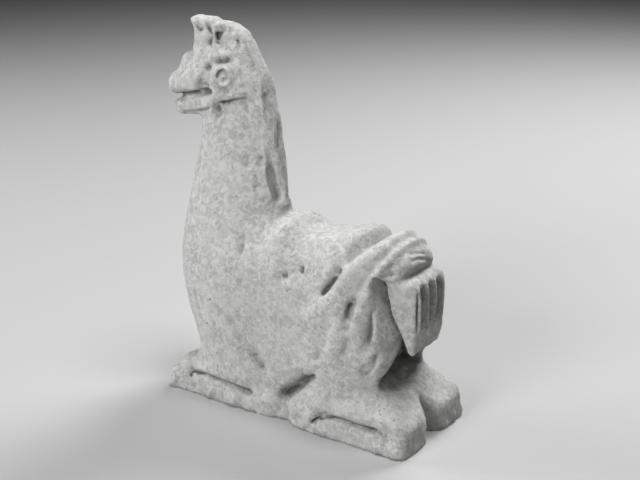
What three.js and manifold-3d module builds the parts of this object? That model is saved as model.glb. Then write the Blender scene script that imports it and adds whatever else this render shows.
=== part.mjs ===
// A resting llama carved from one block of grey stone, after the small figures of the Andes.
// Millimetres, +Z up. It faces -X, its left flank is towards -Y, and it rests on Z = 0.

import * as THREE from 'three';
import Module from 'manifold-3d';
import { mergeVertices } from 'three/addons/utils/BufferGeometryUtils.js';

const { lerp, clamp, smoothstep } = THREE.MathUtils;

// Overall size
const HEIGHT = 150;
const LENGTH = 123.5;
const WIDTH = 47.5;

// Carved details
const TAIL_WIDTH = 23.4;
const TAIL_GROOVE_DEPTH = 3.6;
const TAIL_END = 33.6;
const FLUTE_PITCH = 5.8;
const FLUTE_DEPTH = 1.6;
const FOOT_GAP = 12;
const EYE_RING = 7.6;
const CREST_STEP = 1.2;
const LEG_GROOVE = 2.4;
const LEG_GROOVE_DEPTH = 2.2;

// The pose and the carving are laid out on a canon, this many parts long, wide and high
const CANON = new THREE.Vector3(123.5, 47.5, 150);
const PART = HEIGHT / CANON.z;

// The surface is meshed a little below the ground too, and then cut flat there. The cells are
// finer over the front half and the head. All of these are in parts, but for the last three.
const BURIED = 4;
const MARGIN = 3;
const COARSE = 1.6;
const FINE = 1.05;
const ACROSS = 1.35;
const FINE_BEFORE = -6;
const FINE_ABOVE = 108;
const CAUTION = 0.5;
const TRIANGLES = 9650;
const FACE_CARE = 5;

// Forms: each gives the distance to its surface in parts, below zero inside it

function join(a, b, blend) {
  const near = Math.max(blend - Math.abs(a - b), 0) / blend;
  return Math.min(a, b) - near * near * blend / 4;
}

function keep(a, b, blend) {
  return -join(-a, -b, blend);
}

function ball(x, y, z, [cx, cy, cz], [rx, ry, rz]) {
  const dx = (x - cx) / rx;
  const dy = (y - cy) / ry;
  const dz = (z - cz) / rz;
  const near = Math.hypot(dx, dy, dz);
  const steep = Math.hypot(dx / rx, dy / ry, dz / rz);
  return steep > 0 ? near * (near - 1) / steep : -Math.min(rx, ry, rz);
}

// A limb swells from one end radius to the other, and may be wider across than it is tall
function limb(x, y, z, [ax, ay, az], [bx, by, bz], fromRadius, toRadius, across = 1) {
  const dx = bx - ax;
  const dy = (by - ay) / across;
  const dz = bz - az;
  const px = x - ax;
  const py = (y - ay) / across;
  const pz = z - az;
  const along = clamp((px * dx + py * dy + pz * dz) / (dx * dx + dy * dy + dz * dz), 0, 1);
  const away = Math.hypot(px - along * dx, py - along * dy, pz - along * dz);
  return away - lerp(fromRadius, toRadius, along);
}

function block(x, y, z, [cx, cy, cz], [hx, hy, hz], round) {
  const dx = Math.abs(x - cx) - hx + round;
  const dy = Math.abs(y - cy) - hy + round;
  const dz = Math.abs(z - cz) - hz + round;
  const outside = Math.hypot(Math.max(dx, 0), Math.max(dy, 0), Math.max(dz, 0));
  return outside + Math.min(Math.max(dx, dy, dz), 0) - round;
}

// A section is a rounded oval: squareness 2 is an ellipse, and more gives fuller corners
function section(u, v, halfU, halfV, squareness) {
  const a = Math.abs(u) / halfU;
  const b = Math.abs(v) / halfV;
  const reach = Math.max((a ** squareness + b ** squareness) ** (1 / squareness), 0.1);
  const slopeU = (a / reach) ** (squareness - 1) / halfU;
  const slopeV = (b / reach) ** (squareness - 1) / halfV;
  return (reach - 1) / Math.max(Math.hypot(slopeU, slopeV), 0.5 / Math.max(halfU, halfV));
}

// A smooth run of values through stations, each of them [position, value, value, ...]
function profile(stations) {
  const positions = stations.map(([position]) => position);
  const values = stations.flatMap(([, ...rest]) => rest);
  const curve = new THREE.CubicInterpolant(positions, values, stations[0].length - 1);
  const first = positions[0];
  const last = positions[positions.length - 1];
  return (position) => curve.evaluate(clamp(position, first, last));
}

// A chisel stroke follows a curve in the side view. Its depth runs from one end to the other,
// and a depth below zero raises a ridge.
function stroke(through, halfWidth, fromDepth, toDepth = fromDepth) {
  const curve = new THREE.SplineCurve(through.map(([x, z]) => new THREE.Vector2(x, z)));
  const path = through.length > 1 ? curve.getPoints(4 * (through.length - 1)) : curve.points;
  const box = new THREE.Box2().setFromPoints(path).expandByScalar(2.4 * halfWidth);
  return (x, z) => {
    if (x < box.min.x || x > box.max.x || z < box.min.y || z > box.max.y) {
      return 0;
    }
    let nearest = Infinity;
    let depth = 0;
    for (let index = 0; index < path.length; index++) {
      const a = path[index];
      const b = path[Math.min(index + 1, path.length - 1)];
      const length = (b.x - a.x) ** 2 + (b.y - a.y) ** 2;
      const dot = (x - a.x) * (b.x - a.x) + (z - a.y) * (b.y - a.y);
      const share = length > 0 ? clamp(dot / length, 0, 1) : 0;
      const away = (x - lerp(a.x, b.x, share)) ** 2 + (z - lerp(a.y, b.y, share)) ** 2;
      if (away < nearest) {
        nearest = away;
        depth = lerp(fromDepth, toDepth, (index + share) / path.length);
      }
    }
    return depth * Math.exp(-nearest / halfWidth ** 2);
  };
}

function sum(strokes, x, z) {
  return strokes.reduce((total, cut) => total + cut(x, z), 0);
}

// Chest and neck: height, front, back, half width
const column = profile([
  [-6, -43.4, 2, 19],
  [10, -44.2, 2, 19.6],
  [20, -46.4, 2, 20],
  [30, -49.8, 2, 20.3],
  [40, -53, 2, 20.2],
  [50, -54.8, 2, 19.8],
  [60, -54.6, 0, 18.6],
  [70, -53, -4, 16.4],
  [80, -50.9, -7, 13.8],
  [90, -48.8, -8.5, 11.4],
  [100, -46.3, -11, 9.8],
  [105, -45.4, -12, 9],
  [110, -45, -13, 8.2],
  [116, -42, -14, 7.6],
  [124, -36, -16, 7.6],
]);

function neckForm(x, y, z) {
  const [front, back, half] = column(z);
  const oval = section(x - (front + back) / 2, y, (back - front) / 2, half, 2.1);
  return keep(oval, z - 124, 6);
}

// Mane and crest, one blade of wool: height, front, back, half width
const blade = profile([
  [78, -16, -5.6, 4.2],
  [85, -20, -6, 4.4],
  [95, -24, -7.3, 4.6],
  [105, -28, -8.8, 4.8],
  [115, -30, -10.8, 5],
  [125, -32, -14, 5.4],
  [133, -40, -17.3, 5.8],
  [137, -47, -19.4, 5.8],
  [142.5, -47.2, -22.6, 5.6],
  [146.5, -48, -26.4, 5.4],
  [149, -50, -30.6, 5],
]);

function bladeForm(x, y, z) {
  const [front, back, half] = blade(z);
  const wool = section(x - (front + back) / 2, y, (back - front) / 2, half, 4);
  const top = CANON.z - CREST_STEP / PART * smoothstep(x, -40.5, -37);
  return keep(keep(wool, z - top, 3.4), 78 - z, 3);
}

const MANE_STROKES = [
  // The edge of the mane stands off the neck, over a hollow that deepens downwards
  stroke([[-15.5, 128], [-13.8, 121], [-13, 110], [-12.2, 102], [-10.8, 93], [-9, 85]],
    0.9, -0.5, -0.8),
  stroke([[-11, 100], [-9.8, 94], [-8.4, 89], [-7, 84.5]], 1.6, 1.6, 3.2),
  stroke([[-8.9, 108.5], [-8.4, 102.5]], 1.2, 1.3, 0.9),
  stroke([[-12.6, 121.5], [-12, 117]], 1.1, 1, 0.6),
];

const CREST_STROKES = [
  stroke([[-47.5, 145.6], [-38, 146], [-28, 145]], 1.5, 0.5, 0.2),
  stroke([[-44.2, 147.2], [-41.4, 145.6]], 0.9, 0.8),
  stroke([[-38.8, 146.8], [-37.6, 144], [-37.2, 139.8]], 1.1, 1.2, 0.9),
  stroke([[-32.7, 146.6], [-32.8, 140.4]], 1.5, 3.6, 1.2),
  stroke([[-28.4, 146.4], [-27.6, 141]], 1.1, 0.7, 0.3),
  stroke([[-24.6, 142.8], [-23.4, 139.6]], 0.9, 1.3, 0.6),
];

// Body: distance back, height of the back, half width
const barrel = profile([
  [-36, 56, 18],
  [-22, 68, 19.6],
  [-8, 74.5, 20],
  [0.5, 77.3, 20.3],
  [6.6, 73.6, 20.4],
  [11, 73.6, 20.5],
  [16, 74.2, 20.6],
  [24, 75.9, 20.7],
  [31, 77.5, 20.4],
  [35.6, 73.8, 20.2],
  [45, 76.6, 19.4],
  [54, 73, 18],
]);

// Back of the body: height, distance back. The rump overhangs the hollow that the tail hangs in.
const rump = profile([
  [10, 42],
  [22, 41],
  [32, 44.2],
  [42, 48],
  [50, 47.6],
  [58, 45.6],
  [62, 46.6],
  [64.4, 51.4],
  [67, 53.6],
  [72, 54],
  [78, 54],
]);

function bodyForm(x, y, z) {
  const [top, half] = barrel(x);
  const floor = -20;
  const round = section(y, z - (top + floor) / 2, half, (top - floor) / 2, 3.6);
  const [rear] = rump(z);
  return keep(keep(round, x - rear, 8), -34 - x, 6);
}

function haunchForm(x, y, z) {
  return ball(x, y, z, [32.5, 10.5, 39], [18.6, 12.2, 33]);
}

// Recess between the haunches under the tail: height, half its width, and distance back of its
// floor. It widens downwards, and narrows from its mouth inwards.
const RECESS_TOP = 50;
const RECESS_MOUTH = 49;
const RECESS_TAPER = 0.6;
const recess = profile([
  [18, 18.2, 43.5],
  [24.6, 17.6, 44],
  [27, 16.4, 44.6],
  [30, 14, 45.4],
  [34, 10.8, 46.6],
  [38, 7.4, 49],
  [41, 5, 53],
]);
function recessForm(x, y, z) {
  const [half, floor] = recess(z);
  const wall = half - y - RECESS_TAPER * (RECESS_MOUTH - x);
  return join(x - floor, wall, 2.5);
}

// Locks of wool that run over the rump and down the thigh
const RUMP_STROKES = [
  stroke([[36.4, 78], [34.6, 72.5], [31, 67]], 2.4, 2.6, 1.2),
  stroke([[42, 80], [41.5, 75.5], [38.6, 73.6], [35.2, 69.8], [33, 66]], 3.8, -1.5),
  stroke([[46.8, 79], [46.6, 74.8], [44.7, 71.8], [42.8, 69], [41.4, 65.4], [40.4, 62]],
    1.5, 1.5, 0.9),
  stroke([[49, 76], [48.3, 72.8], [45.6, 69.6], [43.7, 66.6], [42.5, 63]], 1.5, -0.8),
  stroke([[50, 74], [49.4, 70.6], [47.9, 68.5], [46.2, 65.6], [45, 61.5]], 1.4, 0.7, 0.9),
  stroke([[50.4, 67.8], [48.9, 65.6], [48.2, 62], [48.8, 57]], 1.5, 0.7, 1.2),
];

const FLANK_STROKES = [
  // The deep fold in front of the thigh, and the swelling ridge behind it
  stroke([[31, 67], [27.8, 62], [24.3, 57.2], [20, 52.6], [14, 48]], 3, 1.3, 0.4),
  stroke([[30.4, 66], [27.6, 61.8], [24.6, 57.6]], 1.5, 2.1),
  stroke([[33, 66], [30.5, 61.8], [26.4, 55.8], [20.5, 48.9], [14.5, 43]], 4.4, -1.3, -0.5),
  // Shorter cuts between the locks of the thigh
  stroke([[37.3, 56.6], [36.6, 52.5], [35.5, 46]], 1.4, 2.2, 1.7),
  stroke([[37.6, 42.4], [36.4, 38.5], [33.8, 31.5]], 1.9, 1.3, 0.9),
  stroke([[44.8, 56], [44.9, 51.8], [44.7, 47], [43.4, 39]], 1.5, 1, 1.3),
  stroke([[45, 63], [47, 56.4], [49.2, 50], [51.6, 43.5], [53.5, 39]], 2.2, 2.6, 1.8),
  stroke([[47.3, 37.6], [45.6, 33.4], [43, 29.4]], 1.5, 1.1),
  stroke([[29.4, 49], [27.8, 43.5], [23.8, 31]], 2.6, 0.5, 0.8),
  stroke([[41.4, 57], [40.2, 50], [38.8, 42.5]], 2, -0.8),
  stroke([[32.4, 55], [31.4, 46], [29, 36]], 2.6, -0.6),
  stroke([[46.6, 51], [47, 46], [47, 39], [45.8, 31]], 1.8, -0.8),
  // Hollows of the shoulder, the flank and the elbow
  stroke([[-15.9, 68], [-15.7, 63.5]], 1.6, 1, 0.6),
  stroke([[3.8, 58.2], [7.2, 59.9]], 1.5, 0.9, 0.8),
  stroke([[13, 64.6], [13.2, 60.6]], 1.3, 0.9, 0.6),
  stroke([[-9.2, 25.4], [-6.8, 22.2], [-3.8, 18.8]], 2.2, 0.9, 1.2),
  // The slot between the two folded legs
  stroke([[5.6, 10.4], [10, 13.9], [14, 17.8], [18.6, 22]], 2, 5.5, 4),
];

// Folded legs: a shank along the ground, and the limb that lies on it
const LEG_STROKES = [
  stroke([[-40.3, 9], [-37.6, 8.6], [-32, 9.3], [-22, 9.1], [-16, 8.5], [-10, 7.2]],
    LEG_GROOVE / 2 / PART, LEG_GROOVE_DEPTH / PART),
  stroke([[22.4, 5], [23.6, 7], [27.4, 8.5], [37, 8.7], [46, 8.6], [50.6, 8.3], [53.6, 6.8]],
    LEG_GROOVE / 2 / PART, LEG_GROOVE_DEPTH / PART),
];

function frontLegForm(x, y, z) {
  const shank = block(x, y, z, [-24.8, 13, 0], [26.8, 8.5, 8.8], 3);
  const forearm = limb(x, y, z, [-42.4, 12.8, 6], [-14, 12.2, 13], 8, 9);
  return join(shank, forearm, 2);
}

// The two hind feet are one mass, with a slope above the heel and a notch that opens rearwards
const HEEL = 61.8;
const HEEL_SLOPE = THREE.MathUtils.degToRad(39);
const NOTCH_TAPER = 0.8;
function hindLegForm(x, y, z) {
  const outer = 22.8;
  const middle = 14.4;
  const opening = FOOT_GAP / 2 / PART;
  const shank = block(x, y, z, [HEEL - 25.8, 0, 0], [25.3, outer, 8.4], 3);
  const foot = block(x, y, z, [HEEL - 22.4, 0, 6], [22.4, outer, 10.2], 4.5);
  const hock = limb(x, y, z, [43, middle, 12], [53.4, middle, 9], 10.4, 8.2, 0.8);
  const saddle = block(x, y, z, [HEEL - 22.4, 0, 6], [22.4, middle, 13.2], 3);
  const feet = join(join(join(shank, foot, 2), hock, 3), saddle, 2);
  const slope = (x - 54) * Math.sin(HEEL_SLOPE) + (z - 16.6) * Math.cos(HEEL_SLOPE);
  const notch = (opening - y - NOTCH_TAPER * (HEEL - x)) / Math.hypot(NOTCH_TAPER, 1);
  return keep(keep(keep(feet, slope, 2), x - HEEL, 1.2), notch, 2.6);
}

// The tail from the side: height, edge that lies on the rump, edge that hangs free
const tail = profile([
  [31, 56.6, 53.4],
  [33.4, 56, 55],
  [36.2, 55.1, 56.6],
  [39.2, 53.9, 57.6],
  [42.4, 52.5, 58.1],
  [47, 50.6, 58.2],
  [51.2, 49, 58.2],
  [57, 47.2, 58.2],
  [60, 46.4, 58],
  [62, 45.9, 57.4],
  [63.6, 45.6, 56],
  [64.8, 45.4, 53.6],
]);

// A web of stone along the middle of the tail ties it to the rump, and a groove on each side sets
// it clear
function tailForm(x, y, z) {
  const half = TAIL_WIDTH / 2 / PART * lerp(0.92, 1, clamp((z - 38) / 24, 0, 1));
  const [root, back] = tail(z);
  const slab = block(x, y, z, [back - 8.8, 0, 48.5], [8.8, half, 16.3], 2.2);
  const web = block(x, y, z, [49, 0, 52], [5, half - TAIL_GROOVE_DEPTH / PART, 10], 1.5);
  return join(keep(keep(slab, root - x, 1), TAIL_END / PART - z, 1.2), web, 2);
}

// Three flutes, a little off the middle
const FLUTE_SHIFT = 0.6;
function fluteDepth(x, y, z) {
  const along = clamp((62.4 - z) / 3, 0, 1) * clamp((z - 40) / 6, 0, 1);
  const turn = clamp((y - FLUTE_SHIFT) * PART / FLUTE_PITCH, -1.5, 1.5);
  const wave = 0.5 + 0.5 * Math.cos(2 * Math.PI * turn);
  return smoothstep(x, 51, 55) * along * wave * FLUTE_DEPTH / PART;
}

// Height of the flat underside of the upper lip
const LIP = 118.2;
function headForm(x, y, z) {
  const skull = ball(x, y, z, [-31, 0, 126.5], [15.5, 9.2, 11.5]);
  const face = ball(x, y, z, [-44.6, 0, 127.5], [11.6, 6.8, 8.6]);
  const nose = limb(x, y, z, [-46, 0, 125.4], [-57.2, 0, 122.8], 7, 4.9, 1.1);
  const muzzle = keep(nose, LIP - z, 1);
  const bridge = limb(x, y, z, [-44, 0, 134], [-51.4, 0, 132.8], 3.6, 2.6, 1.4);
  const jaw = limb(x, y, z, [-36, 0, 117], [-55.1, 0, 114.1], 4.8, 3.6, 1.5);
  const cheek = ball(x, y, z, [-31, 0, 122], [11, 8.6, 6.4]);
  const upper = join(join(join(skull, face, 6), muzzle, 4), bridge, 3);
  return join(upper, join(jaw, cheek, 4), 1.6);
}

const FACE_STROKES = [
  // Brow over the eye, and the hollow that parts the muzzle from the cheek
  stroke([[-37.6, 131.6], [-35.4, 133.8], [-31, 134.9], [-25.8, 135.9]], 1.1, 0.9, 0.6),
  stroke([[-36, 136.4], [-31, 137.4], [-25.6, 138]], 1.5, -0.6),
  stroke([[-37, 131.4], [-37.2, 128], [-38.6, 125], [-40.4, 122.6]], 1.7, 1.5, 1.2),
  // Corner of the mouth, and the line under the jaw
  stroke([[-52, 119.7], [-45.6, 120.5], [-40.4, 121.4], [-36.4, 122.2]], 1.1, 1.4, 2.2),
  stroke([[-35, 116.6], [-31.3, 118], [-27.3, 119.3], [-19.6, 121]], 1.2, 1.4, 1),
  stroke([[-34, 114], [-29, 115.2], [-20, 117.6]], 3, 0.8, 0.4),
];

// The eye: a raised ring in a shallow socket, round a ring-shaped cut and a small pupil
const EYE = { x: -28.9, z: 129.4 };
function eyeDepth(x, z) {
  const ring = EYE_RING / 2 / PART;
  const away = Math.hypot(x - EYE.x, z - EYE.z) / ring;
  const bump = (centre, spread) => Math.exp(-(((away - centre) / spread) ** 2));
  return 0.5 * bump(1.4, 0.3) - 0.8 * bump(0.85, 0.24) + 0.7 * bump(0.5, 0.17) - 0.3 * bump(0, 0.3);
}

function figure(x, y, z) {
  const side = Math.abs(y);
  let form = join(neckForm(x, side, z), bodyForm(x, side, z), 6);
  form = join(form, haunchForm(x, side, z), 6);
  if (x > 38 && z < RECESS_TOP) {
    form = keep(form, recessForm(x, side, z), 1.4);
  }
  form = join(form, frontLegForm(x, side, z), 4);
  form = join(form, hindLegForm(x, side, z), 4);
  if (z > 74) {
    form = join(form, bladeForm(x, side, z), 2);
  }
  if (z > 100) {
    form = join(form, headForm(x, side, z), 3);
  }
  if (Math.abs(form) < 6) {
    form += smoothstep(side, 7, 12) * (sum(FLANK_STROKES, x, z) + sum(LEG_STROKES, x, z));
    form += sum(RUMP_STROKES, x, z);
    form += smoothstep(side, 1, 3.5) * sum(MANE_STROKES, x, z);
    form += smoothstep(side, 2.5, 4.5) * (sum(CREST_STROKES, x, z) + sum(FACE_STROKES, x, z));
    form += smoothstep(side, 3, 6) * eyeDepth(x, z);
  }
  if (x > 40 && z > 30 && z < 72) {
    form = join(form, tailForm(x, side, z) + fluteDepth(x, y, z), 2);
  }
  return Math.max(form, -BURIED - z);
}

// The surface: the space is filled with tetrahedra, and a face is cut across each that it passes

function spaced(from, to, step) {
  const count = Math.ceil((to - from) / step);
  return Array.from({ length: count }, (_, index) => lerp(from, to, index / count));
}

function surface(form, xs, ys, zs) {
  const [nx, ny, nz] = [xs.length, ys.length, zs.length];
  const corners = nx * ny * nz;
  const nodes = corners + (nx - 1) * (ny - 1) * (nz - 1);
  const place = new Float64Array(3 * nodes);
  const value = new Float64Array(nodes);
  const cornerAt = (i, j, k) => i + nx * (j + ny * k);
  const centreAt = (i, j, k) => corners + i + (nx - 1) * (j + (ny - 1) * k);
  // Along a row, a distance to the surface clears the nodes that lie well within it
  const measureRows = (nodeAt, rowXs, rowYs, rowZs) => {
    rowZs.forEach((z, k) => rowYs.forEach((y, j) => {
      let distance = 0;
      let clear = -Infinity;
      rowXs.forEach((x, i) => {
        if (x > clear) {
          distance = form(x, y, z) || Number.EPSILON;
          clear = x + CAUTION * Math.abs(distance);
        }
        const node = nodeAt(i, j, k);
        place[3 * node] = x;
        place[3 * node + 1] = y;
        place[3 * node + 2] = z;
        value[node] = distance;
      });
    }));
  };
  measureRows(cornerAt, xs, ys, zs);
  const between = (list) => list.slice(1).map((item, index) => (item + list[index]) / 2);
  measureRows(centreAt, between(xs), between(ys), between(zs));

  const points = [];
  const faces = [];
  const known = new Map();
  const cross = (a, b) => {
    const low = Math.min(a, b);
    const high = Math.max(a, b);
    const key = low * nodes + high;
    if (!known.has(key)) {
      const share = clamp(value[low] / (value[low] - value[high]), 0.06, 0.94);
      known.set(key, points.length / 3);
      for (let axis = 0; axis < 3; axis++) {
        points.push(lerp(place[3 * low + axis], place[3 * high + axis], share));
      }
    }
    return known.get(key);
  };
  const [p, q, out] = [new THREE.Vector3(), new THREE.Vector3(), new THREE.Vector3()];
  const corner = new THREE.Vector3();
  // A face is wound so that it looks from an inner node to an outer one
  const addFace = (a, b, c, inner, outer) => {
    corner.fromArray(points, 3 * a);
    p.fromArray(points, 3 * b).sub(corner);
    q.fromArray(points, 3 * c).sub(corner);
    out.fromArray(place, 3 * outer).sub(corner.fromArray(place, 3 * inner));
    faces.push(...(out.dot(p.cross(q)) > 0 ? [a, b, c] : [a, c, b]));
  };
  const cutTetrahedron = (tetrahedron) => {
    const inner = tetrahedron.filter((node) => value[node] < 0);
    if (inner.length === 0 || inner.length === 4) {
      return;
    }
    const outer = tetrahedron.filter((node) => value[node] >= 0);
    if (inner.length === 2) {
      const [ac, ad] = outer.map((node) => cross(inner[0], node));
      const [bc, bd] = outer.map((node) => cross(inner[1], node));
      addFace(ac, ad, bd, inner[0], outer[1]);
      addFace(ac, bd, bc, inner[1], outer[0]);
    } else {
      const cuts = inner.flatMap((a) => outer.map((b) => cross(a, b)));
      addFace(...cuts, inner[0], outer[0]);
    }
  };

  // Four tetrahedra lie round the line between the centres of every two neighbouring cells
  const steps = [[1, 0, 0], [0, 1, 0], [0, 0, 1]];
  for (let k = 1; k < nz - 1; k++) {
    for (let j = 1; j < ny - 1; j++) {
      for (let i = 1; i < nx - 1; i++) {
        const here = centreAt(i, j, k);
        steps.forEach(([di, dj, dk], axis) => {
          const u = steps[(axis + 1) % 3];
          const v = steps[(axis + 2) % 3];
          const there = centreAt(i - di, j - dj, k - dk);
          const ring = [[0, 0], [1, 0], [1, 1], [0, 1]].map(([m, n]) => cornerAt(
            i + m * u[0] + n * v[0], j + m * u[1] + n * v[1], k + m * u[2] + n * v[2]));
          ring.forEach((node, index) => {
            cutTetrahedron([here, there, node, ring[(index + 1) % 4]]);
          });
        });
      }
    }
  }
  return { points, faces };
}

// Thinning: edges close up one by one, always the one whose closing bends the surface least.
// Each vertex keeps a quadric, the ten sums that give its squared distance to the planes it met.

class Queue {
  constructor() {
    this.items = [];
  }

  push(item) {
    const { items } = this;
    let index = items.push(item) - 1;
    while (index > 0) {
      const parent = (index - 1) >> 1;
      if (items[parent].cost <= item.cost) {
        break;
      }
      items[index] = items[parent];
      index = parent;
    }
    items[index] = item;
  }

  pop() {
    const { items } = this;
    const top = items[0];
    const last = items.pop();
    if (items.length > 0) {
      let index = 0;
      for (;;) {
        let child = 2 * index + 1;
        if (child + 1 < items.length && items[child + 1].cost < items[child].cost) {
          child++;
        }
        if (child >= items.length || items[child].cost >= last.cost) {
          break;
        }
        items[index] = items[child];
        index = child;
      }
      items[index] = last;
    }
    return top;
  }
}

// How strongly a vertex is held near its own place, against its pull into the planes around it
const EVENNESS = 0.0005;
const LEAST_TURN = 0.3;
const LEAST_AREA = 0.001;

// The ten sums of a quadric: the upper triangle of a symmetric matrix of four rows
function addPlane(quadric, { x, y, z }, offset, weight) {
  const terms = [x * x, x * y, x * z, x * offset, y * y, y * z, y * offset, z * z, z * offset,
    offset * offset];
  terms.forEach((term, index) => {
    quadric[index] += weight * term;
  });
}

function addPoint(quadric, point, weight) {
  quadric[0] += weight;
  quadric[3] -= weight * point.x;
  quadric[4] += weight;
  quadric[6] -= weight * point.y;
  quadric[7] += weight;
  quadric[8] -= weight * point.z;
  quadric[9] += weight * point.lengthSq();
}

// The best place for the vertex that an edge closes into, and what closing it costs
function closing(a, b) {
  const p = a.quadric;
  const q = b.quadric;
  const [xx, xy, xz, x1] = [p[0] + q[0], p[1] + q[1], p[2] + q[2], p[3] + q[3]];
  const [yy, yz, y1] = [p[4] + q[4], p[5] + q[5], p[6] + q[6]];
  const [zz, z1, one] = [p[7] + q[7], p[8] + q[8], p[9] + q[9]];
  const cx = yy * zz - yz * yz;
  const cy = xz * yz - xy * zz;
  const cz = xy * yz - xz * yy;
  const dyz = xy * xz - xx * yz;
  const whole = -(xx * cx + xy * cy + xz * cz);
  const x = (x1 * cx + y1 * cy + z1 * cz) / whole;
  const y = (x1 * cy + y1 * (xx * zz - xz * xz) + z1 * dyz) / whole;
  const z = (x1 * cz + y1 * dyz + z1 * (xx * yy - xy * xy)) / whole;
  return { a, b, x, y, z, cost: x * x1 + y * y1 + z * z1 + one, stamp: a.stamp + b.stamp };
}

const edgeFrom = new THREE.Vector3();
const edgeTo = new THREE.Vector3();
function normalOf([a, b, c], target) {
  edgeFrom.subVectors(b.place, a.place);
  edgeTo.subVectors(c.place, a.place);
  return target.crossVectors(edgeFrom, edgeTo);
}

// Whether a face would fold over or vanish if one of its vertices moved
const before = new THREE.Vector3();
const after = new THREE.Vector3();
const kept = new THREE.Vector3();
function folds(face, vertex, x, y, z) {
  normalOf(face, before);
  kept.copy(vertex.place);
  vertex.place.set(x, y, z);
  normalOf(face, after);
  vertex.place.copy(kept);
  const size = after.length();
  return size < LEAST_AREA || before.dot(after) < LEAST_TURN * size * before.length();
}

function thin({ points, faces }, target, care) {
  const vertices = Array.from({ length: points.length / 3 }, (_, index) => ({
    place: new THREE.Vector3().fromArray(points, 3 * index),
    quadric: new Float64Array(10),
    faces: new Set(),
    stamp: 0,
  }));
  const all = new Set();
  const queue = new Queue();
  const normal = new THREE.Vector3();
  for (let index = 0; index < faces.length; index += 3) {
    const face = [vertices[faces[index]], vertices[faces[index + 1]], vertices[faces[index + 2]]];
    all.add(face);
    const area = normalOf(face, normal).length();
    normal.divideScalar(area || 1);
    for (const vertex of face) {
      vertex.faces.add(face);
      const weight = area * care(vertex.place);
      addPlane(vertex.quadric, normal, -normal.dot(vertex.place), weight);
      addPoint(vertex.quadric, vertex.place, EVENNESS * weight);
    }
  }
  for (const face of all) {
    face.forEach((a, side) => {
      const b = face[(side + 1) % 3];
      if (a.place.x < b.place.x || (a.place.x === b.place.x && a.place.z < b.place.z)) {
        queue.push(closing(a, b));
      }
    });
  }

  const around = (vertex) => {
    const found = new Set();
    for (const face of vertex.faces) {
      face.forEach((other) => found.add(other));
    }
    found.delete(vertex);
    return found;
  };
  while (all.size > target && queue.items.length > 0) {
    const { a, b, x, y, z, stamp } = queue.pop();
    if (a.gone || b.gone || a.stamp + b.stamp !== stamp) {
      continue;
    }
    const besideB = around(b);
    const shared = [...around(a)].filter((vertex) => besideB.has(vertex));
    const dying = [...a.faces].filter((face) => b.faces.has(face));
    const folding = (vertex) => [...vertex.faces].some((face) =>
      !dying.includes(face) && folds(face, vertex, x, y, z));
    if (shared.length !== 2 || dying.length !== 2 || folding(a) || folding(b)) {
      continue;
    }
    for (const face of dying) {
      face.forEach((vertex) => vertex.faces.delete(face));
      all.delete(face);
    }
    for (const face of b.faces) {
      face[face.indexOf(b)] = a;
      a.faces.add(face);
    }
    a.place.set(x, y, z);
    b.quadric.forEach((term, index) => {
      a.quadric[index] += term;
    });
    a.stamp++;
    b.gone = true;
    for (const vertex of around(a)) {
      queue.push(closing(a, vertex));
    }
  }
  return [...all].flatMap((face) => face.flatMap(({ place }) => place.toArray()));
}

// Solids are cut with one another as closed meshes

const wasm = await Module();
wasm.setup();

function toSolid(geometry) {
  const bare = geometry.clone();
  bare.deleteAttribute('normal');
  bare.deleteAttribute('uv');
  const merged = mergeVertices(bare);
  return new wasm.Manifold(new wasm.Mesh({
    numProp: 3,
    vertProperties: new Float32Array(merged.attributes.position.array),
    triVerts: new Uint32Array(merged.index.array),
  }));
}

function toGeometry(solid) {
  const { vertProperties, triVerts } = solid.getMesh();
  const geometry = new THREE.BufferGeometry();
  geometry.setAttribute('position', new THREE.BufferAttribute(vertProperties, 3));
  geometry.setIndex(new THREE.BufferAttribute(triVerts, 1));
  return geometry;
}

function carve() {
  const end = Math.max(CANON.x / 2 + MARGIN, HEEL + 1.5 * COARSE);
  const side = CANON.y / 2 + MARGIN;
  const xs = [...spaced(-end, FINE_BEFORE, FINE), ...spaced(FINE_BEFORE, end, COARSE)];
  const ys = spaced(-side, side, ACROSS);
  const zs = [
    ...spaced(-BURIED - MARGIN, FINE_ABOVE, COARSE),
    ...spaced(FINE_ABOVE, CANON.z + MARGIN, FINE),
  ];
  const care = ({ z }) => (z > FINE_ABOVE ? FACE_CARE : 1);
  const corners = thin(surface(figure, xs, ys, zs), TRIANGLES, care);
  const geometry = new THREE.BufferGeometry();
  geometry.setAttribute('position', new THREE.Float32BufferAttribute(corners, 3));
  return geometry.scale(LENGTH / CANON.x, WIDTH / CANON.y, PART);
}

const whole = toSolid(carve());
const ground = new THREE.BoxGeometry(2 * LENGTH, 2 * WIDTH, HEIGHT);
ground.translate(0, 0, -HEIGHT / 2);
const geometry = toGeometry(whole.subtract(toSolid(ground)));
geometry.computeBoundingBox();
const middle = geometry.boundingBox.getCenter(new THREE.Vector3());

const stone = new THREE.MeshStandardMaterial({ color: 0xb5b5b5, roughness: 0.85, metalness: 0 });
const llama = new THREE.Mesh(geometry, stone);
llama.name = 'llama';
llama.position.set(-middle.x, -middle.y, 0);
const model = new THREE.Group();
model.add(llama);

export default model;
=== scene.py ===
import math

import bmesh
import bpy
import numpy as np
from bpy.props import FloatProperty, FloatVectorProperty, IntProperty, PointerProperty
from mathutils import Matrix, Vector
from mathutils.kdtree import KDTree


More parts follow.
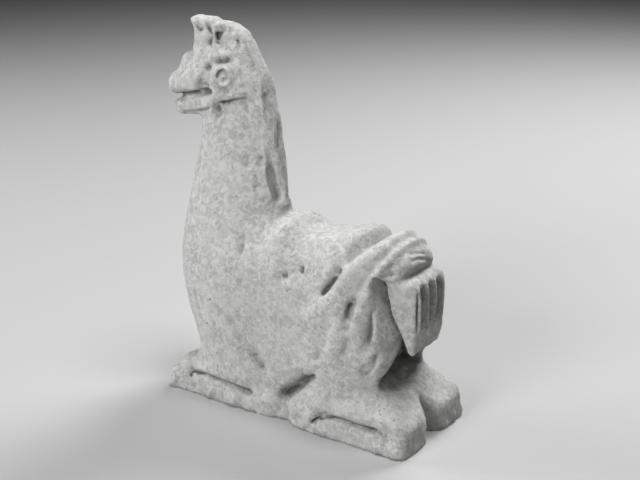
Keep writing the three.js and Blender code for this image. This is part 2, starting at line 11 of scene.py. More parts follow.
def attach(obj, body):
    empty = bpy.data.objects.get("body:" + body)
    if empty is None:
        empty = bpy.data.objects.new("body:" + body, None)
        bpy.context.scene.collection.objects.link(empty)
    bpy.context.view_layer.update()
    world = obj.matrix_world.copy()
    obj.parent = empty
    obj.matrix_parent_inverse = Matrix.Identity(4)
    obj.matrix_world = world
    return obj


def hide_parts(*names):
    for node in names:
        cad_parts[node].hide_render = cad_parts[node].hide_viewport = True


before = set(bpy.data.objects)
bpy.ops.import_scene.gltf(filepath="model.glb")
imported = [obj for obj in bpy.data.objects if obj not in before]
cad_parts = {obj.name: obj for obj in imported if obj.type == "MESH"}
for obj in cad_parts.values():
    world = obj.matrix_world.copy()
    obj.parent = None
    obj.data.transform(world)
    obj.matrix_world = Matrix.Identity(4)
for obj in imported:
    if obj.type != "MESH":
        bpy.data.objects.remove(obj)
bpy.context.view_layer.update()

bl_info = {
    "name": "Resting Stone Llama",
    "version": (1, 0, 0),
    "blender": (4, 5, 0),
    "location": "3D View > Sidebar > Llama",
    "description": "Carves a small resting llama in mottled grey stone on a pale floor",
    "category": "Add Mesh",
}

# Strokes are laid out in millimetres
MM = 0.001
# Corners of the rough solid that lie nearer than this are one point
WELD = 0.01 * MM
# All that lies lower than this, in millimetres, is part of the flat underside
UNDERSIDE = 0.9
# How far each rub moves a point towards its neighbours, before and after the fine cuts
RUBBING_SHARE = 0.5
SOFTENING_SHARE = 0.4
# Unevenness of the surface: size in metres, and levels of detail
UNEVENNESS = {"wear": (0.007, 1), "hammering": (0.0025, 1), "pitting": (0.001, 2)}
# Fine and broad hollows, which the stone's colour darkens as painted shade: the names that the mesh
# keeps them under, and the rounds of smoothing that find them
FINE_HOLLOW = "fine_hollow"
BROAD_HOLLOW = "broad_hollow"
FINE_ROUNDS = 16
BROAD_ROUNDS = 120


class Carving(bpy.types.PropertyGroup):
    """How finely the stone is worked"""
    grain: FloatProperty(
        name="Grain", description="Size of the cells that the stone is carved in",
        default=0.00045, min=0.0004, max=0.003, unit="LENGTH")
    rubbing: IntProperty(
        name="Rubbing", description="Times that the stone is rubbed smooth before the fine cuts",
        default=6, min=0, max=40)
    softening: IntProperty(
        name="Softening", description="Times that the stone is rubbed after the fine cuts",
        default=1, min=0, max=20)
    depth: FloatProperty(
        name="Depth of cut", description="Strength of every fine cut",
        default=1.0, min=0.0, max=2.0)
    wear: FloatProperty(
        name="Wear", description="Height of the slow unevenness that handling and weather leave",
        default=0.0003, min=0.0, max=0.002, unit="LENGTH")
    hammering: FloatProperty(
        name="Hammering", description="Depth of the dents that the hammer stone leaves",
        default=0.00022, min=0.0, max=0.002, unit="LENGTH")
    pitting: FloatProperty(
        name="Pitting", description="Depth of the fine pits between the grains",
        default=0.00016, min=0.0, max=0.001, unit="LENGTH")
    most_faces: IntProperty(
        name="Most faces", description="The finished figure is thinned to this many triangles",
        default=190000, min=20000, max=199000)


class Stone(bpy.types.PropertyGroup):
    """Colours and finish of the stone, and the colour of the painted shade in its hollows"""
    pale: FloatVectorProperty(
        name="Pale grain", description="Colour of the light grains", subtype="COLOR", size=3,
        default=(0.58, 0.58, 0.57), min=0.0, max=1.0)
    dark: FloatVectorProperty(
        name="Dark grain", description="Colour of the dark grains", subtype="COLOR", size=3,
        default=(0.41, 0.41, 0.405), min=0.0, max=1.0)
    # Painted shade: the near-black grey that the deepest hollows are darkened towards, standing in
    # for the shade that falls in them
    painted_shade: FloatVectorProperty(
        name="Painted shade", description="Colour of the dirt in the deepest hollows", subtype="COLOR",
        size=3, default=(0.16, 0.16, 0.157), min=0.0, max=1.0)
    mottle: FloatProperty(
        name="Mottle", description="Size of one patch of the mottling", default=0.0022,
        min=0.0005, max=0.02, unit="LENGTH")
    roughness: FloatProperty(
        name="Roughness", description="How matt the stone is", default=0.88, min=0.0, max=1.0,
        subtype="FACTOR")


class Studio(bpy.types.PropertyGroup):
    """Floor, lights and camera"""
    floor: FloatVectorProperty(
        name="Floor", description="Colour of the floor", subtype="COLOR", size=3,
        default=(0.5, 0.5, 0.5), min=0.0, max=1.0)
    overhead: FloatProperty(
        name="Overhead light", description="Power of the soft light high above the llama's rump",
        default=4.0, min=0.0, unit="POWER")
    far: FloatProperty(
        name="Far light", description="Power of the soft light above the llama's right flank",
        default=5.0, min=0.0, unit="POWER")
    front: FloatProperty(
        name="Front light", description="Power of the soft light on the llama's left flank",
        default=5.3, min=0.0, unit="POWER")
    left: FloatProperty(
        name="Chest light", description="Power of the soft light on the llama's chest",
        default=2.9, min=0.0, unit="POWER")
    edge: FloatProperty(
        name="Edge light", description="Power of the small light behind the llama's right flank",
        default=2.0, min=0.0, unit="POWER")
    exposure: FloatProperty(
        name="Exposure", description="Brightness of the picture, in stops", default=0.35)
    gamma: FloatProperty(
        name="Gamma", description="Under 1 for more contrast between light and dark", default=0.75,
        min=0.1, max=2.0)
    azimuth: FloatProperty(
        name="Azimuth", description="Turn of the camera round the llama",
        default=math.radians(33.82), subtype="ANGLE", unit="ROTATION")
    elevation: FloatProperty(
        name="Elevation", description="Height of the camera above the horizon",
        default=math.radians(18.81), subtype="ANGLE", unit="ROTATION")


# Reading and writing a mesh

def merged_copy(node, name):
    """A copy of a node's mesh with its loose triangles joined up and rounded off"""
    shape = bmesh.new()
    shape.from_mesh(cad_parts[node].data)
    bmesh.ops.remove_doubles(shape, verts=shape.verts, dist=WELD)
    bmesh.ops.subdivide_edges(shape, edges=shape.edges, cuts=2, smooth=1.0, use_grid_fill=True)
    mesh = bpy.data.meshes.new(name)
    shape.to_mesh(mesh)
    shape.free()
    piece = bpy.data.objects.new(name, mesh)
    bpy.context.scene.collection.objects.link(piece)
    return piece


def apply_modifiers(piece):
    """Makes a piece's modifiers part of its mesh"""
    seen = piece.evaluated_get(bpy.context.evaluated_depsgraph_get())
    made = bpy.data.meshes.new_from_object(seen)
    old = piece.data
    piece.modifiers.clear()
    piece.data = made
    made.name = piece.name
    bpy.data.meshes.remove(old)


def read_points(mesh):
    """Places of a mesh's points, in millimetres"""
    points = np.empty(3 * len(mesh.vertices))
    mesh.vertices.foreach_get("co", points)
    return points.reshape(-1, 3) / MM


def read_normals(mesh):
    normals = np.empty(3 * len(mesh.vertices))
    mesh.vertex_normals.foreach_get("vector", normals)
    return normals.reshape(-1, 3)


def write_points(mesh, points):
    """Moves a mesh's points to places in millimetres"""
    mesh.vertices.foreach_set("co", (points * MM).ravel())
    mesh.update()


# Chisel strokes

def ramp(value, low, high):
    """From 0 at low to 1 at high, with a soft start and end"""
    share = np.clip((value - low) / (high - low), 0.0, 1.0)
    return share * share * (3.0 - 2.0 * share)


# Steps of a path between two of its given points, and of an arc
PATH_STEPS = 5
ARC_STEPS = 9
# Beyond this many half widths a stroke leaves no mark
STROKE_REACH = 3.0


def bent(through):
    """A smooth path through given points, which passes each with the slope of its neighbours"""
    points = np.array(through, float)
    if len(points) < 3:
        return points
    slopes = np.gradient(points, axis=0)
    share = np.linspace(0.0, 1.0, PATH_STEPS, endpoint=False)[:, None]
    path = []
    for a, b, leave, arrive in zip(points, points[1:], slopes, slopes[1:]):
        path.extend(
            (1 + 2 * share) * (1 - share) ** 2 * a + share * (1 - share) ** 2 * leave
            + share ** 2 * (3 - 2 * share) * b - share ** 2 * (1 - share) * arrive)
    path.append(points[-1])
    return np.array(path)


def cut(view, through, width, depth, to_depth=None, fade=0.2, edge=2.0):
    """How deep one stroke bites at each point of a flat view

    Width is its half width, and depth runs to to_depth along it. Fade is the share of its length
    over which each end runs out, and edge is 2 for a round-bottomed stroke or less for a sharper
    one. A depth under zero is a ridge.
    """
    path = bent(through)
    reach = STROKE_REACH * width
    low, high = path.min(0) - reach, path.max(0) + reach
    near = np.flatnonzero(((view > low) & (view < high)).all(1))
    spot = view[near]
    best = np.full(len(near), np.inf)
    along = np.zeros(len(near))
    for index, (a, b) in enumerate(zip(path, path[1:])):
        step = b - a
        share = np.clip(((spot - a) @ step) / (step @ step), 0.0, 1.0)
        away = ((spot - a - share[:, None] * step) ** 2).sum(1)
        closer = away < best
        best[closer] = away[closer]
        along[closer] = (index + share[closer]) / (len(path) - 1)
    last = depth if to_depth is None else to_depth
    bite = depth + (last - depth) * along
    bite *= ramp(along, 0.0, fade) * ramp(1.0 - along, 0.0, fade)
    taken = np.zeros(len(view))
    taken[near] = bite * np.exp(-((np.sqrt(best) / width) ** edge))
    return taken


def cuts(view, strokes):
    """How deep all the strokes of a list bite together"""
    return sum(cut(view, *stroke) for stroke in strokes)


def arc(centre, radius, start, stop):
    """Points along an arc, from one angle to another in degrees"""
    turns = np.radians(np.linspace(start, stop, ARC_STEPS))
    return np.stack([centre[0] + radius * np.cos(turns), centre[1] + radius * np.sin(turns)], 1)


# Each stroke holds its path, its half width and its depth, and may hold its depth at the far end,
# its fade and its edge. Paths in the side view are distance back and height.

CREST = [
    # Underside of the roll along the top, and the slots that part the tufts
    ([(-46.5, 145.8), (-40, 146.2), (-33.6, 145.9), (-29, 146.2), (-25.4, 144.9)], 0.9, 0.35),
    ([(-45, 147.2), (-43.4, 145.8), (-41.5, 145)], 0.6, 0.6),
    ([(-39.5, 147.4), (-37.9, 145), (-36.8, 143.8), (-37.4, 141.5), (-37.9, 139.4)],
     0.55, 0.6, 0.9, 0.15),
    ([(-33.9, 145.6), (-33.9, 143.3), (-33.8, 140.4)], 0.55, 2.0, 0.9, 0.06),
    ([(-33.1, 145.4), (-33.5, 142.2)], 0.4, 1.5, 0.6, 0.06),
    ([(-34.6, 145.4), (-34.2, 142.2)], 0.4, 1.3, 0.6, 0.06),
    ([(-24.8, 143.4), (-24.5, 141.8), (-23.9, 140.3)], 0.42, 0.8, 0.4, 0.1),
    ([(-27.8, 145.3), (-26.8, 143.2), (-25.8, 141.1)], 0.7, 0.4),
    ([(-29.5, 144.5), (-29, 143), (-28.6, 141.5)], 0.6, 0.3),
]

FACE = [
    # Brow
    ([(-38.6, 130.4), (-38.1, 131.6), (-37.2, 132.6)], 0.8, 0.5),
    ([(-35.4, 133.9), (-32.8, 134.4), (-30, 134.8), (-26.6, 136.2)], 0.8, 0.4, 0.7),
    ([(-32.2, 136.2), (-32.2, 134.1)], 0.4, 0.3),
    ([(-29.3, 136.8), (-29.3, 134.4)], 0.4, 0.3),
    ([(-26.6, 137.8), (-26.6, 135.4)], 0.4, 0.3),
    # Recess between muzzle and cheek, and hollows round the eye
    ([(-38.3, 131.2), (-39.3, 128.5), (-40.6, 125.7), (-41.8, 123.5)], 1.3, 0.8),
    ([(-39.6, 127.6), (-38.8, 125.4), (-36.6, 124.4), (-32.4, 124.4)], 1.6, 0.7),
    ([(-34.9, 122.2), (-29.6, 122.7), (-25.3, 123.9)], 1.3, 0.6),
    ([(-23, 132), (-21.2, 130), (-20.2, 127), (-21.4, 124.5)], 1.6, 0.8),
    # Mouth, with the lower lip as a bar under it
    ([(-56, 118.7), (-52, 119.3), (-47.5, 120.3), (-43, 121.4)], 0.55, 1.1, 1.0, 0.1),
    ([(-46, 121), (-43, 121.7), (-40, 122.2), (-37.4, 122.2), (-34.6, 121.7)], 0.8, 0.9, 0.8, 0.4),
    ([(-42.8, 123.2), (-40.4, 124.2), (-37.4, 123.4)], 1.2, 0.6),
    ([(-51.5, 116.6), (-45.9, 117.9), (-39.7, 119.4), (-33.9, 120.9), (-29, 122)], 1.2, -0.5),
    # Lower edge of the jaw, its line on the cheek, and the hollow of the throat under it
    ([(-53.5, 111.9), (-49.5, 112), (-45, 113), (-39, 115.2), (-36.4, 116.8)], 0.8, 1.2),
    ([(-32.8, 118), (-30.6, 118.7), (-27.5, 119.5), (-23.4, 120.7), (-19.4, 121.6)],
     0.55, 1.1, 0.7, 0.12),
    ([(-32.6, 117.7), (-30.2, 118.4), (-27, 119.3)], 0.7, 0.7, 0.4),
    ([(-34.8, 116.5), (-33, 115)], 1.8, 0.7),
    ([(-35, 114.2), (-31.9, 115.2), (-27, 117), (-21, 118.6)], 1.8, 1.5, 0.9),
    ([(-20.3, 124.1), (-18.3, 122.2), (-16.8, 120)], 1.2, 0.5),
    # Eye: the foot of its raised disc, a crescent inside the ring and the dot of the pupil
    (arc((-29.8, 129), 4.6, 140, 345), 0.8, 0.45),
    (arc((-29.6, 129.2), 3.5, 100, 250), 0.8, -0.35),
    (arc((-28.9, 129.3), 2.3, 60, 215), 0.45, 0.75),
    ([(-28.8, 129), (-28.5, 128.2)], 0.5, 0.9, None, 0.05),
]

# Gap between the lips, right across the muzzle
LIPS = [
    ([(-60, 117.6), (-56, 118), (-52, 118.9)], 0.7, 1.2, 0.6),
]

MANE_SIDE = [
    ([(-13.3, 108), (-12.6, 102), (-11.6, 92), (-9.8, 86), (-8.2, 82)], 0.6, -0.4),
    ([(-17.7, 134.3), (-17.2, 132.8), (-16.6, 131.2)], 0.9, 0.4),
    ([(-16.2, 126.2), (-16.3, 124), (-16.4, 122)], 0.9, 0.4),
    ([(-18.5, 100.9), (-18, 97.6), (-17.6, 94.5)], 1.4, 0.7),
    ([(-14, 100.5), (-13.8, 98), (-13.6, 95.4)], 1.2, 0.7),
    ([(-21.1, 108.3), (-20.9, 106), (-20.7, 103.4)], 1.3, 0.6),
    ([(-14.6, 89.3), (-14.3, 85.9)], 1.0, 0.5),
    ([(-11.4, 84.4), (-11.2, 82.1)], 0.9, 0.5),
]

# Locks of the rump, which run right across the back
RUMP = [
    ([(36, 76), (34.6, 72.5), (31.5, 67.6)], 1.4, 0.6),
    ([(47.2, 78), (46.6, 74.8), (44.7, 71.8), (42.8, 69)], 1.5, -0.3),
]

FLANK = [
    # Slot in front of the thigh, filled towards the back
    ([(29.8, 64.6), (27.6, 61.4), (24.8, 57.7), (22.6, 55.2)], 0.7, 1.4, 1.2, 0.3),
    ([(33.4, 70), (31.8, 67.8), (30.6, 66)], 1.6, -0.8),
    # Locks of the thigh
    ([(36.9, 56), (36.2, 54), (35.9, 51.5), (35.3, 48)], 0.65, 1.3, 0.9),
    ([(36.6, 43), (35.4, 39), (33.9, 33.9)], 0.9, 0.8, 0.4),
    ([(44.8, 55), (44.9, 51.5), (44.8, 47.4), (44.2, 43), (43.4, 39.6)], 0.75, 1.4, 1.1, 0.3),
    ([(47.1, 38), (46.6, 34.2), (45, 30.9), (42.1, 27.4)], 0.8, 1.1, 0.4),
    ([(29.3, 48.9), (27.8, 43.9), (25.9, 37.4), (23.8, 30.6)], 1.6, 0.3),
    ([(39.5, 56), (39, 50), (38.2, 43)], 1.3, -0.3),
    # Under the last lock
    ([(46.2, 64), (47.2, 65.6), (49.4, 67), (51.4, 67.9)], 0.8, 0.8),
    # Hollows of the shoulder, the belly and the elbow
    ([(-15.9, 67.6), (-16.2, 63), (-16.4, 60.4)], 1.3, 0.5),
    ([(4.4, 58.5), (7, 59.8)], 1.1, 0.6),
    ([(13, 64.3), (13.2, 61)], 0.9, 0.7),
    ([(-27.3, 53.4), (-26.9, 52.8)], 1.6, 0.4),
    ([(7.8, 54.2), (8.2, 53.6)], 1.4, 0.4),
    ([(-8.7, 24.6), (-7.4, 21.5), (-3.8, 18)], 1.6, 0.8),
    ([(-0.8, 71.8), (8.2, 71.9), (21.1, 73.4), (28.2, 75.4)], 1.2, -0.5),
]

FRONT_LEG = [(-38.9, 6.6), (-40.2, 7.7), (-38.7, 8.4), (-36.3, 8.3), (-32.3, 9.3), (-26.9, 9.1),
             (-21.7, 9.2), (-14.4, 8.4), (-8.2, 7)]
HIND_LEG = [(20.6, 3.4), (21.7, 4.9), (23.2, 6.2), (25.4, 6.8), (27.4, 7.7), (32.2, 8.7),
            (37.1, 8.6), (44.6, 8.6), (51.4, 8.4)]

LEGS = [
    # The slot between the legs
    ([(15.6, 20.6), (18, 23.2), (20.4, 25.6)], 1.6, -1.3),
    ([(3.7, 9.5), (6, 10.2), (9.9, 13.3), (12.4, 14.8), (16.2, 20), (18.8, 22.2)], 0.8, 0.8),
    # The wide groove along each leg closes to a thin line
    (FRONT_LEG, 1.5, -0.9),
    (FRONT_LEG, 0.5, 1.7, None, 0.1, 1.3),
    (HIND_LEG, 1.5, -0.9),
    ([(49, 8), (52, 7.4), (54.4, 6)], 1.5, -1.0, None, 0.1),
    (HIND_LEG, 0.5, 1.7, None, 0.1, 1.3),
]

# Strokes on what faces rearwards: distance to the right, and height
MANE_REAR = [
    ([(-0.8, 133.4), (-4.4, 125.5), (-4.8, 118.8), (-5.1, 115)], 0.5, -0.45),
    ([(-2.6, 124.2), (-3.3, 121.2), (-3.7, 118.5)], 1.1, 0.45),
    ([(-1.6, 116.2), (-2.4, 109.6), (-3.3, 102.7)], 0.5, -0.4),
    ([(0.5, 113), (-0.6, 107.3), (-1.7, 101.8)], 0.9, 0.9),
    ([(-4.4, 100), (-3.8, 93), (-3.1, 86.5), (-3.1, 80)], 2.1, 0.7, 1.0, 0.25),
    ([(-5.8, 96.8), (-6.2, 90.4), (-5.6, 84.1), (-4.2, 80.2)], 0.5, -0.4),
]

# Two short grooves on the back of the last locks
LOCKS = [
    ([(-5.4, 72.5), (-0.1, 72), (5.7, 70.2)], 0.55, 0.55),
    ([(-6.6, 70.4), (-0.7, 70.1), (6.1, 67.6)], 0.55, 0.55),
]

FLUTES = [
    # The hollows, then the sharp edges between them and the crack beside the first
    ([(-5.6, 62.5), (-5.3, 54), (-4.9, 43)], 1.9, 1.5, 1.0),
    ([(0.7, 62.5), (0.7, 54), (0.7, 43)], 1.8, 1.5, 1.0),
    ([(6.4, 62), (6.4, 54), (6.1, 43)], 1.8, 1.5, 1.0),
    ([(-8.7, 63.5), (-8.6, 54), (-8, 42)], 0.4, -0.8),
    ([(-2.2, 63.5), (-2.2, 54), (-2, 42)], 0.4, -0.8),
    ([(3.6, 63), (3.6, 54), (3.4, 42)], 0.4, -0.8),
    ([(9.2, 62), (9.2, 54), (8.8, 43)], 0.4, -0.8),
    ([(-9.9, 61), (-9.8, 54), (-9.3, 44)], 0.4, 1.0),
]


# Strokes of the side view bite by how squarely the stone faces sideways, and those of the rear view
# by how squarely it faces rearwards
FLANK_FACING = (0.1, 0.45)
REAR_FACING = (0.1, 0.5)
# Those of the head and of the body begin this far out from the middle
HEAD_OUT = (1.5, 3.5)
BODY_OUT = (7.0, 10.0)
# Those of the rear view reach the mane before the first, and the tail and rump behind the others
MANE_BACK = 10.0
TAIL_FRONT = 52.0
RUMP_FRONT = 44.0


def fine_cuts(points, normals):
    """Depth of all the fine strokes at each point of the figure, in millimetres"""
    side = points[:, (0, 2)]
    rear = points[:, (1, 2)]
    out = np.abs(points[:, 1])
    flank = ramp(np.abs(normals[:, 1]), *FLANK_FACING)
    back = ramp(normals[:, 0], *REAR_FACING)
    depth = flank * ramp(out, *HEAD_OUT) * (cuts(side, CREST) + cuts(side, FACE))
    depth += flank * cuts(side, MANE_SIDE)
    depth += cuts(side, LIPS) + cuts(side, RUMP)
    depth += ramp(out, *BODY_OUT) * (cuts(side, FLANK) + cuts(side, LEGS))
    depth += np.where(points[:, 0] < MANE_BACK, back, 0.0) * cuts(rear, MANE_REAR)
    depth += np.where(points[:, 0] > TAIL_FRONT, back, 0.0) * cuts(rear, FLUTES)
    depth += np.where(points[:, 0] > RUMP_FRONT, back, 0.0) * cuts(rear, LOCKS)
    return depth


# Crease along the front of the tail: height, distance back and distance out of its bottom, and how
# steeply the stone rises from it towards the thigh and towards the tail
CREASE = [(33, 55.4, 14), (36, 54.2, 11.4), (39.2, 52.9, 10.1), (42.4, 51.5, 9.7), (47, 49.6, 9.5),
          (51.2, 48, 9.5), (57, 46.2, 9.5), (61.5, 45.2, 9.6), (63.6, 44.8, 10.8), (66, 44.6, 15)]
THIGH_RISE = 3.8
TAIL_RISE = 3.0
# It lies behind this
CREASE_FRONT = 40.0
# Half width and depth of the line along the bottom, and how gradually the walls begin
LINE_WIDTH = 0.5
LINE_DEPTH = 1.4
WALL_BLEND = 1.6


def open_crease(points):
    """Clears the stone from the crease, so that the tail's edge stands free of the thigh"""
    x, y, z = points.T
    heights, places, bottoms = np.array(CREASE, float).T
    ahead = np.interp(z, heights, places) - x
    wall = np.interp(z, heights, bottoms) + np.where(ahead > 0.0, THIGH_RISE, -TAIL_RISE) * ahead
    wall -= LINE_DEPTH * np.exp(-((ahead / LINE_WIDTH) ** 2))
    out = np.abs(y)
    share = np.clip(0.5 + 0.5 * (wall - out) / WALL_BLEND, 0.0, 1.0)
    opened = wall + (out - wall) * share - WALL_BLEND * share * (1.0 - share)
    near = (x > CREASE_FRONT) & (z > heights[0]) & (z < heights[-1])
    points[near, 1] = (np.sign(y) * opened)[near]


# Recess between the haunches under the tail: height and half its width there, how much further in
# it is taken, and how far from its edge that is reached
RECESS = [(22, 15.6), (27, 14.6), (30, 12.6), (34, 9.4), (38, 6)]
RECESS_DEPTH = 4.5
RECESS_WALL = 2.4
# How squarely its stone faces rearwards, the heights over which it begins and ends, and the
# distances back that it lies between
RECESS_FACING = (0.15, 0.55)
RECESS_FOOT = (20.5, 24.0)
RECESS_TOP = (35.0, 41.0)
RECESS_FRONT = 38.0
RECESS_BACK = 52.0


def deepen_recess(points, normals):
    """Takes the shadowed stone under the tail further in"""
    back, side, height = points[:, 0], np.abs(points[:, 1]), points[:, 2]
    half = np.interp(height, *np.array(RECESS, float).T)
    inside = ramp(half - side, 0.0, RECESS_WALL) * ramp(normals[:, 0], *RECESS_FACING)
    inside *= ramp(height, *RECESS_FOOT) * (1.0 - ramp(height, *RECESS_TOP))
    inside *= (back > RECESS_FRONT) & (back < RECESS_BACK)
    points[:, 0] -= RECESS_DEPTH * inside


# Wear, and the hollows that the painted shade darkens

def smoothed(values, edges, rounds):
    """Values at the points of a mesh, each evened out with its neighbours again and again"""
    a, b = edges.T
    count = len(values)
    shares = 1.0 / (1.0 + np.bincount(a, minlength=count) + np.bincount(b, minlength=count))
    for _ in range(rounds):
        values = np.stack([
            shares * (column + np.bincount(a, column[b], count) + np.bincount(b, column[a], count))
            for column in values.T], 1)
    return values


def hollowness(mesh):
    """How far each point lies under the even surface round it, in millimetres, at two sizes"""
    edges = np.empty(2 * len(mesh.edges), int)
    mesh.edges.foreach_get("vertices", edges)
    edges = edges.reshape(-1, 2)
    points = read_points(mesh)
    normals = read_normals(mesh)
    fine = smoothed(points, edges, FINE_ROUNDS)
    broad = smoothed(fine, edges, BROAD_ROUNDS)
    return [((level - points) * normals).sum(1) for level in (fine, broad)]


def keep_hollows(figure, dense):
    """Gives each point of the thinned figure the hollowness of the nearest point before it"""
    tree = KDTree(len(dense.vertices))
    for index, vertex in enumerate(dense.vertices):
        tree.insert(vertex.co, index)
    tree.balance()
    nearest = [tree.find(vertex.co)[1] for vertex in figure.vertices]
    for name, values in zip((FINE_HOLLOW, BROAD_HOLLOW), hollowness(dense)):
        layer = figure.attributes.new(name, "FLOAT", "POINT")
        layer.data.foreach_set("value", values[nearest])


def clouds(piece, name, size, depth, detail):
    """Unevenness of one size, as a displacement along the normals"""
    pattern = bpy.data.textures.new(name, "CLOUDS")
    pattern.noise_scale = size
    pattern.noise_depth = detail
    uneven = piece.modifiers.new(name, "DISPLACE")
    uneven.texture = pattern
    uneven.texture_coords = "LOCAL"
    uneven.strength = depth
    uneven.mid_level = 0.5


# Materials

# Sizes of the patches, the specks and the grain that is felt, as shares of the mottling's
PATCH_SIZE = 4.5
SPECK_SIZE = 0.4
GRAIN_SIZE = 0.5
# Shade of a speck, as a share of the dark grains'
SPECK_SHADE = 0.7
STONE_SHINE = 0.25
GRAIN_STRENGTH = 0.25
GRAIN_HEIGHT = 0.0003


class Nodes:
    """Short names for the steps of a node tree"""

    def __init__(self, material):
        material.use_nodes = True
        self.tree = material.node_tree
        self.tree.nodes.clear()

    def add(self, kind, **settings):
        node = self.tree.nodes.new(kind)
        for name, value in settings.items():
            setattr(node, name, value)
        return node

    def link(self, out, into):
        self.tree.links.new(out, into)


def stone_material(look):
    """Mottled grey stone with dark specks, and painted shade darkening its hollows"""
    material = bpy.data.materials.new("mottled_stone")
    nodes = Nodes(material)
    place = nodes.add("ShaderNodeTexCoord").outputs["Object"]

    def grains(size, detail, roughness, distortion):
        noise = nodes.add("ShaderNodeTexNoise")
        noise.inputs["Scale"].default_value = 1.0 / size
        noise.inputs["Detail"].default_value = detail
        noise.inputs["Roughness"].default_value = roughness
        noise.inputs["Distortion"].default_value = distortion
        nodes.link(place, noise.inputs["Vector"])
        return noise.outputs["Fac"]

    def spread(value, low, high, most=1.0):
        level = nodes.add("ShaderNodeMapRange", interpolation_type="SMOOTHSTEP")
        level.inputs["To Max"].default_value = most
        level.inputs["From Min"].default_value = low
        level.inputs["From Max"].default_value = high
        nodes.link(value, level.inputs["Value"])
        return level.outputs["Result"]

    def mixed(share, a, b):
        mix = nodes.add("ShaderNodeMix", data_type="RGBA")
        nodes.link(share, mix.inputs["Factor"])
        for source, socket in ((a, "A"), (b, "B")):
            if isinstance(source, tuple):
                mix.inputs[socket].default_value = source
            else:
                nodes.link(source, mix.inputs[socket])
        return mix.outputs["Result"]

    def hollow(name, low, high, most):
        layer = nodes.add("ShaderNodeAttribute", attribute_type="GEOMETRY", attribute_name=name)
        return spread(layer.outputs["Fac"], low, high, most)

    squiggles = grains(look.mottle, detail=4.0, roughness=0.62, distortion=0.7)
    patches = grains(PATCH_SIZE * look.mottle, detail=3.0, roughness=0.5, distortion=0.6)
    specks = grains(SPECK_SIZE * look.mottle, detail=2.0, roughness=0.6, distortion=0.4)
    squiggle = spread(squiggles, low=0.36, high=0.66)
    patch = spread(patches, low=0.3, high=0.7)
    speck = spread(specks, low=0.62, high=0.72)
    pale = (*look.pale, 1.0)
    dark = (*look.dark, 1.0)
    # Near-black grey of the painted shade in the hollows
    painted_shade = (*look.painted_shade, 1.0)
    between = tuple(0.5 * (a + b) for a, b in zip(pale, dark))
    darkest = (*(SPECK_SHADE * share for share in look.dark), 1.0)
    body = mixed(squiggle, dark, pale)
    body = mixed(patch, mixed(squiggle, between, pale), body)
    body = mixed(speck, body, darkest)
    # Painted shade: broad hollows, then fine ones, are darkened towards a near-black grey where
    # shade falls in creases and recesses
    body = mixed(hollow(BROAD_HOLLOW, low=0.4, high=2.4, most=0.45), body, painted_shade)
    body = mixed(hollow(FINE_HOLLOW, low=0.05, high=0.7, most=0.8), body, painted_shade)

    shader = nodes.add("ShaderNodeBsdfPrincipled")
    shader.inputs["Roughness"].default_value = look.roughness
    shader.inputs["Specular IOR Level"].default_value = STONE_SHINE
    nodes.link(body, shader.inputs["Base Color"])
    bump = nodes.add("ShaderNodeBump")
    bump.inputs["Strength"].default_value = GRAIN_STRENGTH
    bump.inputs["Distance"].default_value = GRAIN_HEIGHT
    felt = grains(GRAIN_SIZE * look.mottle, detail=4.0, roughness=0.6, distortion=0.3)
    nodes.link(felt, bump.inputs["Height"])
    nodes.link(bump.outputs["Normal"], shader.inputs["Normal"])
    output = nodes.add("ShaderNodeOutputMaterial")
    nodes.link(shader.outputs["BSDF"], output.inputs["Surface"])
    return material


def floor_material(colour):
    """One plain matt colour"""
    material = bpy.data.materials.new("pale_floor")
    material.use_nodes = True
    shader = material.node_tree.nodes["Principled BSDF"]
    shader.inputs["Base Color"].default_value = (*colour, 1.0)
    shader.inputs["Roughness"].default_value = FLOOR_ROUGHNESS
    return material


# Stage, in metres

FLOOR_RADIUS = 2.5
FLOOR_SIDES = 96
FLOOR_ROUGHNESS = 0.9
# Soft lights, named as their powers are in Studio: place and width of each, and what they face
LAMPS = {
    "overhead": ((0.17, 0.0, 0.94), 0.4),
    "far": ((0.0, 0.7, 0.8), 0.4),
    "front": ((-0.1, -0.9, 0.42), 0.5),
    "left": ((-0.9, -0.2, 0.35), 0.5),
    "edge": ((0.35, 0.9, 0.5), 0.3),
}
LIT_POINT = Vector((0.0, 0.0, 0.07))
DIM_ROOM = (0.01, 0.01, 0.01, 1.0)
CAMERA_PLACE = (0.24805, -0.3561, 0.2149)
# Sensor and focal length, in millimetres
SENSOR_WIDTH = 36.0
FOCAL_LENGTH = 66.375


def soft_light(name, place, width, power):
    """A round soft light turned to the llama"""
    lamp = bpy.data.lights.new(name, "AREA")
    lamp.shape = "DISK"
    lamp.size = width
    lamp.energy = power
    light = bpy.data.objects.new(name, lamp)
    light.location = place
    light.rotation_euler = (LIT_POINT - Vector(place)).to_track_quat("-Z", "Y").to_euler()
    bpy.context.scene.collection.objects.link(light)


# Operators

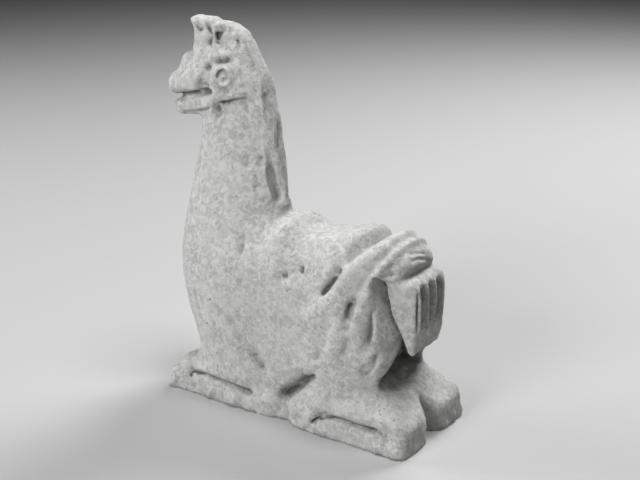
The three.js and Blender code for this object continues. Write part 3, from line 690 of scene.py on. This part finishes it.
class LLAMA_OT_carve(bpy.types.Operator):
    """Works the rough solid into the finished figure"""
    bl_idname = "llama.carve"
    bl_label = "Carve the llama"

    def execute(self, context):
        carving = context.scene.llama_carving
        figure = merged_copy("llama", "stone_llama")
        remesh = figure.modifiers.new("cells", "REMESH")
        remesh.mode = "VOXEL"
        remesh.voxel_size = carving.grain
        rub = figure.modifiers.new("rubbing", "SMOOTH")
        rub.factor = RUBBING_SHARE
        rub.iterations = carving.rubbing
        apply_modifiers(figure)

        points = read_points(figure.data)
        normals = read_normals(figure.data)
        depth = carving.depth * fine_cuts(points, normals)
        points -= depth[:, None] * normals
        open_crease(points)
        deepen_recess(points, normals)
        write_points(figure.data, points)
        soften = figure.modifiers.new("softening", "SMOOTH")
        soften.factor = SOFTENING_SHARE
        soften.iterations = carving.softening
        for name, (size, detail) in UNEVENNESS.items():
            clouds(figure, name, size, getattr(carving, name), detail)
        apply_modifiers(figure)
        points = read_points(figure.data)
        points[points[:, 2] < UNDERSIDE, 2] = 0.0
        write_points(figure.data, points)

        # The cells have four-sided faces, two triangles each
        dense = figure.data.copy()
        thin = figure.modifiers.new("thinning", "DECIMATE")
        thin.ratio = min(1.0, carving.most_faces / (2 * len(dense.polygons)))
        apply_modifiers(figure)
        keep_hollows(figure.data, dense)
        bpy.data.meshes.remove(dense)
        figure.data.shade_smooth()
        figure.data.materials.clear()
        figure.data.materials.append(stone_material(context.scene.llama_stone))
        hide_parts("llama")
        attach(figure, "root")
        return {"FINISHED"}


class LLAMA_OT_stage(bpy.types.Operator):
    """Lays the floor, hangs the lights and sets the camera"""
    bl_idname = "llama.stage"
    bl_label = "Set the stage"

    def execute(self, context):
        studio = context.scene.llama_studio
        shape = bmesh.new()
        bmesh.ops.create_circle(shape, cap_ends=True, segments=FLOOR_SIDES, radius=FLOOR_RADIUS)
        mesh = bpy.data.meshes.new("floor")
        shape.to_mesh(mesh)
        shape.free()
        floor = bpy.data.objects.new("floor", mesh)
        context.scene.collection.objects.link(floor)
        mesh.materials.append(floor_material(studio.floor))

        for name, (place, width) in LAMPS.items():
            soft_light(name, place, width, getattr(studio, name))
        world = bpy.data.worlds.new("studio")
        world.use_nodes = True
        world.node_tree.nodes["Background"].inputs["Color"].default_value = DIM_ROOM
        context.scene.world = world
        context.scene.view_settings.view_transform = "Standard"
        context.scene.view_settings.exposure = studio.exposure
        context.scene.view_settings.gamma = studio.gamma

        lens = bpy.data.cameras.new("camera")
        lens.sensor_width = SENSOR_WIDTH
        lens.lens = FOCAL_LENGTH
        camera = bpy.data.objects.new("camera", lens)
        camera.location = CAMERA_PLACE
        camera.rotation_euler = (math.radians(90.0) - studio.elevation, 0.0, studio.azimuth)
        context.scene.collection.objects.link(camera)
        context.scene.camera = camera
        return {"FINISHED"}


class LLAMA_PT_sidebar(bpy.types.Panel):
    """Lists the steps and their settings"""
    bl_label = "Resting stone llama"
    bl_idname = "LLAMA_PT_sidebar"
    bl_space_type = "VIEW_3D"
    bl_region_type = "UI"
    bl_category = "Llama"

    def draw(self, context):
        scene = context.scene
        for operator, settings in (("llama.carve", (scene.llama_carving, scene.llama_stone)),
                                   ("llama.stage", (scene.llama_studio,))):
            box = self.layout.box()
            for group in settings:
                for name in group.__annotations__:
                    box.prop(group, name)
            box.operator(operator)


CLASSES = (Carving, Stone, Studio, LLAMA_OT_carve, LLAMA_OT_stage, LLAMA_PT_sidebar)


def register():
    for kind in CLASSES:
        bpy.utils.register_class(kind)
    bpy.types.Scene.llama_carving = PointerProperty(type=Carving)
    bpy.types.Scene.llama_stone = PointerProperty(type=Stone)
    bpy.types.Scene.llama_studio = PointerProperty(type=Studio)


def unregister():
    del bpy.types.Scene.llama_studio
    del bpy.types.Scene.llama_stone
    del bpy.types.Scene.llama_carving
    for kind in reversed(CLASSES):
        bpy.utils.unregister_class(kind)


def main():
    register()
    bpy.ops.llama.carve()
    bpy.ops.llama.stage()


if __name__ == "__main__":
    main()
